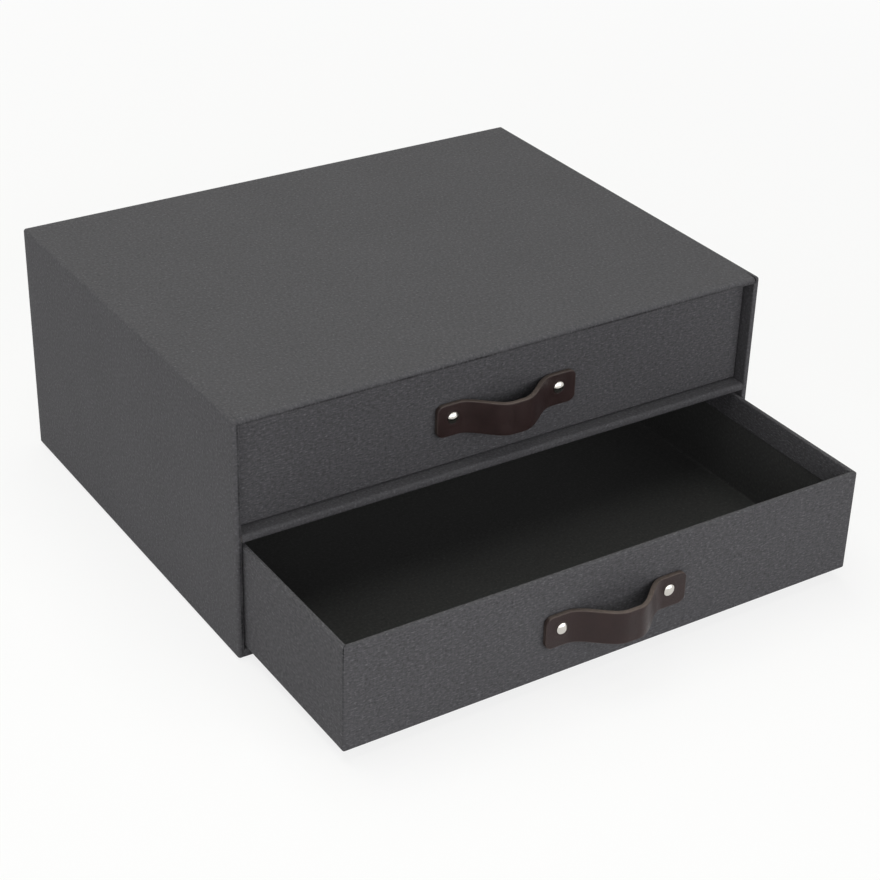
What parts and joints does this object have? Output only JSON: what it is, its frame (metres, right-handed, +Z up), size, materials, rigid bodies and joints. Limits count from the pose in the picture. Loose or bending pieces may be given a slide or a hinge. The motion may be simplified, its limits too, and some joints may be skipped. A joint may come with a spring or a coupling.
{
  "type": "file box with drawers",
  "caption": "Papered board desk box: a low open-fronted case with a fixed shelf, and one shallow drawer in each bay, each with a bowed leather strap pull held by domed screws.",
  "frame": {"origin": "centre of the case's footprint, on its underside", "axes": "+Z up; -Y out of the case's mouth, the way the drawers slide out; +X to the right of someone facing the drawers"},
  "size_m": [0.33, 0.3781, 0.1416],
  "materials": {
    "greyboard": "matte",
    "covering_paper": "matte",
    "lining_paper": "matte",
    "leather": "satin",
    "nickel": "polished"
  },
  "bodies": {
    "case": {"case_bottom_board": "greyboard", "case_top_board": "greyboard", "case_left_side_board": "greyboard", "case_right_side_board": "greyboard", "case_back_board": "greyboard", "case_shelf_board": "greyboard", "case_covering_paper": "covering_paper", "case_shelf_paper": "covering_paper", "case_base_sheet": "covering_paper", "case_back_sheet": "covering_paper", "case_lining_paper": "lining_paper"},
    "upper_drawer": {"upper_drawer_floor_board": "greyboard", "upper_drawer_front_board": "greyboard", "upper_drawer_back_board": "greyboard", "upper_drawer_left_side_board": "greyboard", "upper_drawer_right_side_board": "greyboard", "upper_drawer_covering_paper": "covering_paper", "upper_drawer_base_sheet": "covering_paper", "upper_drawer_lining_paper": "lining_paper", "upper_drawer_handle_strap": "leather", "upper_drawer_left_screw": "nickel", "upper_drawer_right_screw": "nickel", "upper_drawer_left_screw_cap": "nickel", "upper_drawer_right_screw_cap": "nickel"},
    "lower_drawer": {"lower_drawer_floor_board": "greyboard", "lower_drawer_front_board": "greyboard", "lower_drawer_back_board": "greyboard", "lower_drawer_left_side_board": "greyboard", "lower_drawer_right_side_board": "greyboard", "lower_drawer_covering_paper": "covering_paper", "lower_drawer_base_sheet": "covering_paper", "lower_drawer_lining_paper": "lining_paper", "lower_drawer_handle_strap": "leather", "lower_drawer_left_screw": "nickel", "lower_drawer_right_screw": "nickel", "lower_drawer_left_screw_cap": "nickel", "lower_drawer_right_screw_cap": "nickel"}
  },
  "joints": [
    {"name": "upper_drawer_slide", "type": "slide", "parent": "case", "child": "upper_drawer", "axis": [0, -1, 0], "range_m": [0, 0.2248]},
    {"name": "lower_drawer_slide", "type": "slide", "parent": "case", "child": "lower_drawer", "axis": [0, -1, 0], "range_m": [-0.1073, 0.1175]}
  ]
}
